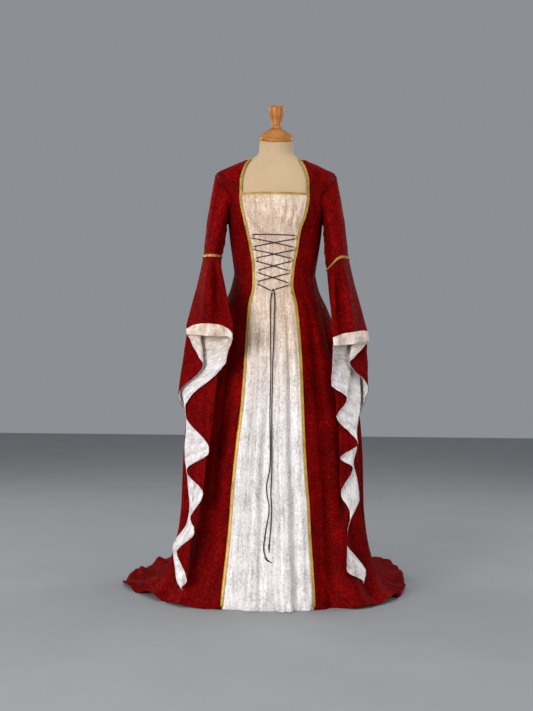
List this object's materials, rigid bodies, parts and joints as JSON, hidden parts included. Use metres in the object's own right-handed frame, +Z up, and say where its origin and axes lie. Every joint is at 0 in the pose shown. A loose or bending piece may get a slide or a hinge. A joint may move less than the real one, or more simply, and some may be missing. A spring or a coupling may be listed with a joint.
{
  "type": "renaissance dress on a dress form",
  "caption": "Full-length renaissance gown with bell sleeves, laced ivory front panel and train, on a limbless dress form.",
  "frame": {"origin": "on the floor, at the middle of the round base's underside, below the pole", "axes": "+Z up; the dress faces -Y; +X is the wearer's left"},
  "size_m": [0.9576, 1.0719, 1.5806],
  "materials": {
    "red_velvet": "crushed velvet",
    "ivory_velvet": "crushed velvet",
    "gold_braid": "metallic woven braid",
    "plum_lace": "smooth cord",
    "linen_cover": "plain woven cover",
    "turned_wood": "satin varnish",
    "painted_steel": "satin black"
  },
  "bodies": {
    "root": {"back_left": "red_velvet", "back_right": "red_velvet", "bell_left": "red_velvet", "bell_lining_left": "ivory_velvet", "bell_lining_right": "ivory_velvet", "bell_right": "red_velvet", "braid_elbow_left": "gold_braid", "braid_elbow_right": "gold_braid", "braid_front_left": "gold_braid", "braid_front_right": "gold_braid", "braid_neck_back": "gold_braid", "braid_panel_top": "gold_braid", "centre_panel": "ivory_velvet", "cuff_left": "ivory_velvet", "cuff_right": "ivory_velvet", "form_base": "painted_steel", "form_knob": "turned_wood", "form_neck_cap": "turned_wood", "form_pole": "painted_steel", "form_torso": "linen_cover", "front_left": "red_velvet", "front_right": "red_velvet", "lace_crossed": "plum_lace", "lace_end_left": "plum_lace", "lace_end_right": "plum_lace", "lace_knot_left": "plum_lace", "lace_knot_right": "plum_lace", "lace_loop_left_1": "ivory_velvet", "lace_loop_left_2": "ivory_velvet", "lace_loop_left_3": "ivory_velvet", "lace_loop_left_4": "ivory_velvet", "lace_loop_left_5": "ivory_velvet", "lace_loop_right_1": "ivory_velvet", "lace_loop_right_2": "ivory_velvet", "lace_loop_right_3": "ivory_velvet", "lace_loop_right_4": "ivory_velvet", "lace_loop_right_5": "ivory_velvet", "lace_tie": "plum_lace", "sleeve_upper_left": "red_velvet", "sleeve_upper_right": "red_velvet"}
  },
  "joints": []
}
